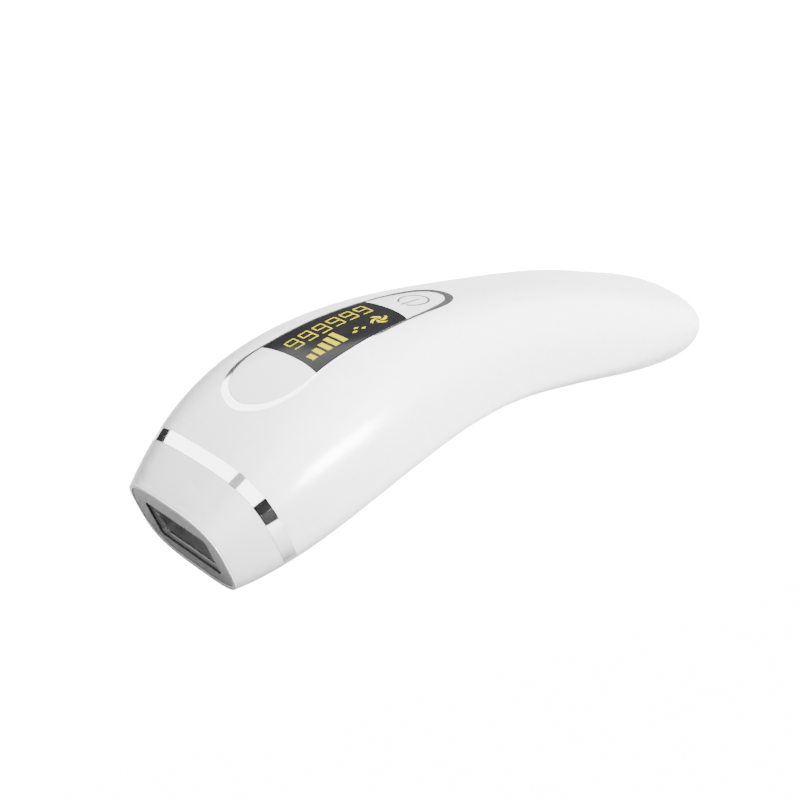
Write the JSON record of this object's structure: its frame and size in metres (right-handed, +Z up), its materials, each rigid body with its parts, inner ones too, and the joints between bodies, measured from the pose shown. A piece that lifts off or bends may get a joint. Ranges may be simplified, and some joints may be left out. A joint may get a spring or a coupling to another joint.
{
  "type": "ipl hair remover",
  "caption": "Handheld pulsed-light hair remover: curved glossy body, replaceable lamp head with a flat light window, bright trim ring, and a framed top panel with display and two buttons.",
  "frame": {"origin": "centre of the bounding box in plan, at the level of its lowest point", "axes": "+X runs from the treatment head to the tail, +Z is up through the control panel, +Y is to the right of a person looking from the tail towards the head with the panel on top"},
  "size_m": [0.191, 0.0658, 0.0502],
  "materials": {
    "shell_gloss": "gloss",
    "cap_gloss": "gloss",
    "button_gloss": "gloss",
    "cover_plastic": "satin",
    "chrome_trim": "polished",
    "lens_black": "gloss",
    "plate_grey": "satin",
    "guide_bright": "polished",
    "window_glass": "gloss",
    "seal_rubber": "matte",
    "frame_black": "matte",
    "bay_white": "matte",
    "reflector_bright": "polished",
    "lamp_quartz": "gloss",
    "metal_bright": "satin",
    "holder_ceramic": "matte",
    "contact_brass": "satin",
    "board_green": "satin",
    "part_black": "matte",
    "capacitor_sleeve": "satin",
    "ferrite_grey": "matte",
    "winding_tape": "satin",
    "copper_wire": "satin",
    "sink_metal": "satin"
  },
  "bodies": {
    "main_body": {"main_shell": "shell_gloss", "bottom_cover": "cover_plastic", "cover_screws": "metal_bright", "trim_ring": "chrome_trim", "panel_bezel": "chrome_trim", "display_window": "lens_black", "display_module": "part_black", "control_board": "board_green", "control_board_screws": "metal_bright", "flash_switch": "part_black", "power_switch": "part_black", "lamp_bay": "bay_white", "lamp_socket": "part_black", "fan_frame": "part_black", "fan_screws": "metal_bright", "main_board": "board_green", "board_screws": "metal_bright", "storage_capacitor": "capacitor_sleeve", "transformer_core": "ferrite_grey", "transformer_winding": "winding_tape", "trigger_coil": "copper_wire", "inductor": "copper_wire", "power_transistor": "part_black", "transistor_heat_sink": "sink_metal", "dc_jack": "part_black", "dc_jack_pin": "metal_bright"},
    "lamp_cartridge": {"head_cap": "cap_gloss", "face_plate": "plate_grey", "light_guide": "guide_bright", "filter_glass": "window_glass", "glass_seal": "seal_rubber", "cartridge_frame": "frame_black", "reflector": "reflector_bright", "flash_lamp": "lamp_quartz", "lamp_electrodes": "metal_bright", "lamp_holders": "holder_ceramic", "contact_pins": "contact_brass", "thermal_sensor": "part_black"},
    "flash_key": {"flash_button": "button_gloss", "flash_plunger": "contact_brass"},
    "power_key": {"power_button": "button_gloss", "power_plunger": "contact_brass"},
    "fan_rotor": {"fan_impeller": "frame_black", "fan_shaft": "metal_bright"}
  },
  "joints": [
    {"name": "cartridge_slide", "type": "slide", "parent": "main_body", "child": "lamp_cartridge", "axis": [-0.9699, 0, -0.2436], "range_m": [0, 0.025]},
    {"name": "flash_press", "type": "slide", "parent": "main_body", "child": "flash_key", "axis": [0, 0, -1], "range_m": [0, 0.0006], "stiffness_N_per_m": 500, "springref_m": -0.0005},
    {"name": "power_press", "type": "slide", "parent": "main_body", "child": "power_key", "axis": [0, 0, -1], "range_m": [0, 0.0005], "stiffness_N_per_m": 500, "springref_m": -0.0005},
    {"name": "fan_spin", "type": "hinge", "parent": "main_body", "child": "fan_rotor", "pos_m": [-0.03074, 0, 0.02414], "axis": [-0.0575, 0, 0.9983], "continuous": true}
  ]
}
